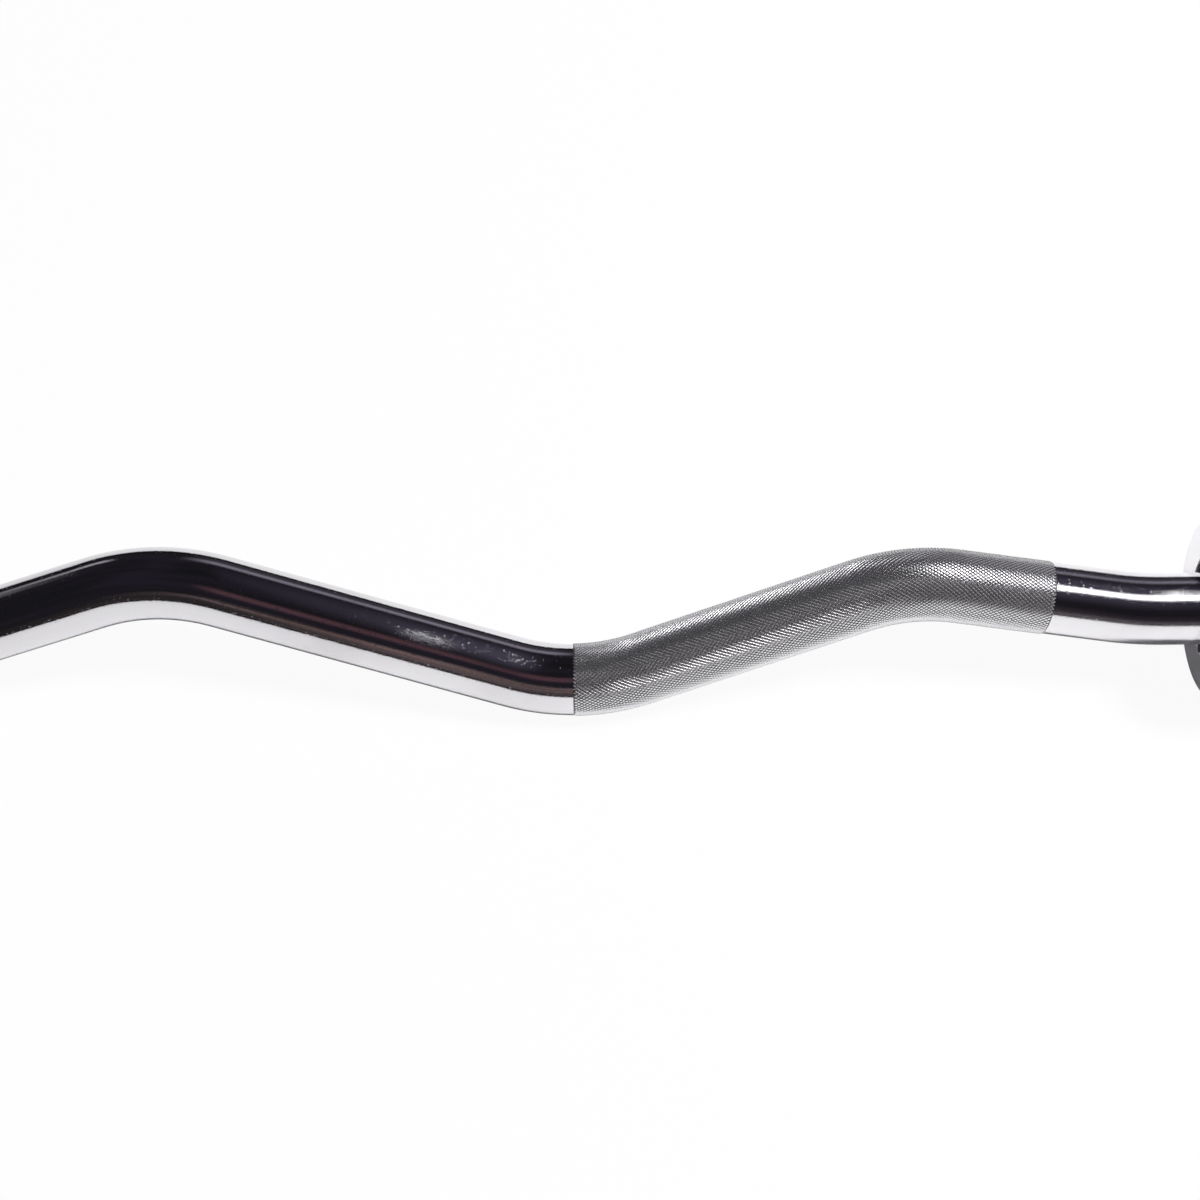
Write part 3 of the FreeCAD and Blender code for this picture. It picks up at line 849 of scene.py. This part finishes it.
class CURLBAR_OT_seals(bpy.types.Operator):
    """Builds the two rubber rings in the collars' mouths, each with a round lip on the shaft"""

    bl_idname = "curl_bar.seals"
    bl_label = "Dust Seals"

    def execute(self, context):
        bar, sleeve = settings().bar, settings().sleeve
        material = black_rubber(settings().finish)
        bore = bar.shaft_diameter / 2 + SEAL_GAP
        lip = sleeve.seal_lip
        outline = (
            (SEAL_BACK, bore, 0),
            (SEAL_FRONT, bore, lip),
            (SEAL_FRONT, bore + 4 * lip, lip),
            (SEAL_FRONT + 2 * lip, bore + 5 * lip, lip),
            (SEAL_FRONT + 2 * lip, SEAL_RADIUS - 3 * lip, lip),
            (SEAL_FRONT, SEAL_RADIUS - 2 * lip, lip),
            (SEAL_FRONT, SEAL_RADIUS, lip),
            (SEAL_BACK, SEAL_RADIUS, 0),
        )
        both_ends("seal", outline, material, "black_rubber", "dust_seal")
        return {"FINISHED"}


class CURLBAR_OT_inner_pieces(bpy.types.Operator):
    """Gives the bushings, washers, circlips and O-rings their finishes"""

    bl_idname = "curl_bar.inner_pieces"
    bl_label = "Inner Pieces"

    def execute(self, context):
        finish = settings().finish
        made = {
            "bronze": oiled_bronze(finish),
            "spring_steel": phosphated_steel(finish),
            "washer_steel": ground_steel(finish),
            "black_rubber": black_rubber(finish),
        }
        kept = ("bushing", "washer", "circlip", "o_ring")
        for subpart in frame["record"]["subparts"]:
            if subpart["node"].endswith(kept):
                node = frame["nodes"][subpart["node"]]
                node.data.materials.clear()
                node.data.materials.append(made[subpart["material_slot"]])
        return {"FINISHED"}


class CURLBAR_OT_stage(bpy.types.Operator):
    """Sets up the camera, the pale floor, the dim studio and the lights"""

    bl_idname = "curl_bar.stage"
    bl_label = "Stage"

    def execute(self, context):
        stage = settings().stage
        self.floor(stage)
        self.room(stage)
        self.light("soft_light", (3.6, -0.3, 6.4), 1.6, 1.6, stage.soft_power, mirrored=False)
        self.light("near_panel", (0.5275, 0.165, PANEL_HEIGHT), 0.115, 0.39, stage.near_power)
        self.light("strip", (0.69, -0.005, PANEL_HEIGHT), 0.22, 0.21, stage.strip_power)
        self.light("far_panel", (0.925, 0.14, PANEL_HEIGHT), 0.25, 0.48, stage.far_power)
        self.camera(stage)
        context.scene.view_settings.view_transform = "Standard"
        return {"FINISHED"}

    def floor(self, stage):
        """A flat grid through the lowest point of the bar."""
        side = np.linspace(-FLOOR_REACH, FLOOR_REACH, FLOOR_POINTS)
        x, y = np.meshgrid(side, side, indexing="ij")
        points = np.column_stack((x.ravel(), y.ravel(), np.zeros(x.size)))
        row, column = np.meshgrid(np.arange(FLOOR_POINTS - 1), np.arange(FLOOR_POINTS - 1), indexing="ij")
        first = (row * FLOOR_POINTS + column).ravel()
        beside = first + FLOOR_POINTS
        mesh = bpy.data.meshes.new("floor")
        mesh.from_pydata(points.tolist(), [], np.column_stack((first, beside, beside + 1, first + 1)).tolist())
        mesh.materials.append(pale_floor(stage.floor, stage.glow, stage.mirror_glow))
        floor = bpy.data.objects.new("floor", mesh)
        bpy.context.scene.collection.objects.link(floor)

    def room(self, stage):
        """A dim studio, drawn by direction: swing is the angle from the front horizon over the top to the back one,
        in degrees, and side is the direction's share along the bar. Each soft patch is a window in both. The camera
        sees a white backdrop in its place, and metal a little of it."""
        world = bpy.data.worlds.new("dim_studio")
        world.use_nodes = True
        bpy.context.scene.world = world
        nodes, links = world.node_tree.nodes, world.node_tree.links

        def add(kind, inputs, output=0, **options):
            return add_node(world.node_tree, kind, inputs, output, **options)

        def times(a, b):
            return add("Math", {0: a, 1: b}, operation="MULTIPLY")

        def slope(value, low, high):
            inputs = {"Value": value, "From Min": low, "From Max": high}
            return add("MapRange", inputs, interpolation_type="SMOOTHSTEP")

        def window(value, low, high, soft):
            return times(slope(value, low - soft, low + soft), slope(value, high + soft, high - soft))

        direction = add("TexCoord", {}, output="Generated")
        split = nodes.new("ShaderNodeSeparateXYZ")
        links.new(direction, split.inputs[0])
        side = split.outputs["X"]
        front = times(split.outputs["Y"], -1.0)
        swing = times(add("Math", {0: split.outputs["Z"], 1: front}, operation="ARCTAN2"), math.degrees(1))
        cloud = slope(add("TexNoise", {"Vector": direction, "Scale": 2.2, "Detail": 3.0}), 0.35, 0.7)
        tone = add("Mix", {0: cloud, 6: (0, 0, 0.001, 1), 7: (0.008, 0.005, 0.012, 1)}, output=2, data_type="RGBA")
        streaks = add("CombineXYZ", {0: times(side, 14.0), 1: times(swing, 0.25)})
        clutter = slope(add("TexNoise", {"Vector": streaks, "Scale": 1.0, "Detail": 3.0}), 0.4, 0.68)
        # Each patch: swing from, to and softness, side from, to and softness, colour. Clutter breaks up those that
        # start near the front horizon.
        front_horizon = 10
        patches = (
            ((64, 122, 26), (0.26, 0.70, 0.14), (0.052, 0.047, 0.071)),
            ((145, 155, 6), (0.02, 0.60, 0.12), (0.210, 0.196, 0.236)),
            ((154, 172, 5), (0.02, 0.60, 0.12), (0.030, 0.027, 0.034)),
            ((149, 157, 4), (-0.62, -0.44, 0.04), (0.360, 0.350, 0.370)),
            ((4, 30, 6), (-0.18, 0.16, 0.18), (0.104, 0.080, 0.079)),
            ((4, 12, 4), (0.16, 0.60, 0.08), (0.130, 0.120, 0.124)),
            ((17, 27, 4), (-0.15, 0.0, 0.06), (0.080, 0.044, 0.040)),
            ((50, 63, 5), (-0.04, 0.18, 0.06), (0.066, 0.030, 0.034)),
            ((136, 170, 8), (-1.20, -0.68, 0.08), (0.50, 0.50, 0.52)),
            ((14, 136, 10), (-1.20, -0.84, 0.08), (0.60, 0.60, 0.62)),
            ((14, 170, 10), (0.84, 1.20, 0.08), (0.60, 0.60, 0.62)),
        )
        for up, along, tint in patches:
            share = times(window(swing, *up), window(side, *along))
            if up[0] < front_horizon:
                share = times(share, add("Math", {0: clutter, 1: 2.2, 2: 0.1}, operation="MULTIPLY_ADD"))
            tone = add("Mix", {0: share, 6: tone, 7: (*tint, 1)}, output=2, data_type="RGBA", blend_type="ADD")
        path = nodes.new("ShaderNodeLightPath")
        direct = add("Math", {0: path.outputs["Is Camera Ray"], 1: path.outputs["Is Transmission Ray"]})
        mirrored = times(path.outputs["Is Glossy Ray"], stage.mirror_glow)
        share = add("Math", {0: direct, 1: mirrored}, operation="MAXIMUM")
        tone = add("Mix", {0: share, 6: tone, 7: (1, 1, 1, 1)}, output=2, data_type="RGBA")
        links.new(tone, nodes["Background"].inputs["Color"])

    def light(self, name, place, along, across, power, mirrored=True):
        """A level rectangle that shines straight down."""
        lamp = bpy.data.lights.new(name, "AREA")
        lamp.shape = "RECTANGLE"
        lamp.size, lamp.size_y, lamp.energy = along, across, power
        holder = bpy.data.objects.new(name, lamp)
        holder.location = place
        holder.visible_camera = False
        holder.visible_glossy = mirrored
        bpy.context.scene.collection.objects.link(holder)

    def camera(self, stage):
        """Looks along +Y and down, at a point a little above the sleeves' axis in the picture."""
        forward = Vector((0, math.cos(stage.elevation), -math.sin(stage.elevation)))
        upward = Vector((0, math.sin(stage.elevation), math.cos(stage.elevation)))
        sideways = Vector((1, 0, 0))
        up = upward * math.cos(stage.roll) + sideways * math.sin(stage.roll)
        right = sideways * math.cos(stage.roll) - upward * math.sin(stage.roll)
        data = bpy.data.cameras.new("camera")
        data.sensor_width = 36
        data.lens = stage.lens
        data.clip_start, data.clip_end = 0.01, 50
        holder = bpy.data.objects.new("camera", data)
        turn = Matrix((right, up, -forward)).transposed().to_4x4()
        aim = Vector((stage.aim_along, 0, AXIS_HEIGHT)) + upward * stage.aim_up
        holder.matrix_world = Matrix.Translation(aim - forward * stage.distance) @ turn
        bpy.context.scene.collection.objects.link(holder)
        bpy.context.scene.camera = holder


class CURLBAR_PT_pieces(bpy.types.Panel):
    """Lists the bar's pieces and sizes"""

    bl_idname = "CURLBAR_PT_pieces"
    bl_label = "Curl Bar"
    bl_space_type = "VIEW_3D"
    bl_region_type = "UI"
    bl_category = "Curl Bar"

    def draw(self, context):
        for operator in OPERATORS:
            self.layout.operator(operator.bl_idname)
        for group in (settings().bar, settings().knurl, settings().sleeve, settings().finish, settings().stage):
            box = self.layout.box()
            for name in group.__annotations__:
                box.prop(group, name)


OPERATORS = (
    CURLBAR_OT_smooth_shaft,
    CURLBAR_OT_knurled_grips,
    CURLBAR_OT_collars,
    CURLBAR_OT_sleeves,
    CURLBAR_OT_end_caps,
    CURLBAR_OT_seals,
    CURLBAR_OT_inner_pieces,
    CURLBAR_OT_stage,
)
CLASSES = (BarShape, GripKnurl, SleeveShape, BarFinish, StageSetup, CurlBarSettings, *OPERATORS, CURLBAR_PT_pieces)


def register():
    for kind in CLASSES:
        bpy.utils.register_class(kind)
    bpy.types.Scene.curl_bar = PointerProperty(type=CurlBarSettings)


def unregister():
    del bpy.types.Scene.curl_bar
    for kind in reversed(CLASSES):
        bpy.utils.unregister_class(kind)


def main():
    register()
    bpy.ops.curl_bar.smooth_shaft()
    bpy.ops.curl_bar.knurled_grips()
    bpy.ops.curl_bar.collars()
    bpy.ops.curl_bar.sleeves()
    bpy.ops.curl_bar.end_caps()
    bpy.ops.curl_bar.seals()
    bpy.ops.curl_bar.inner_pieces()
    bpy.ops.curl_bar.stage()


if __name__ == "__main__":
    main()
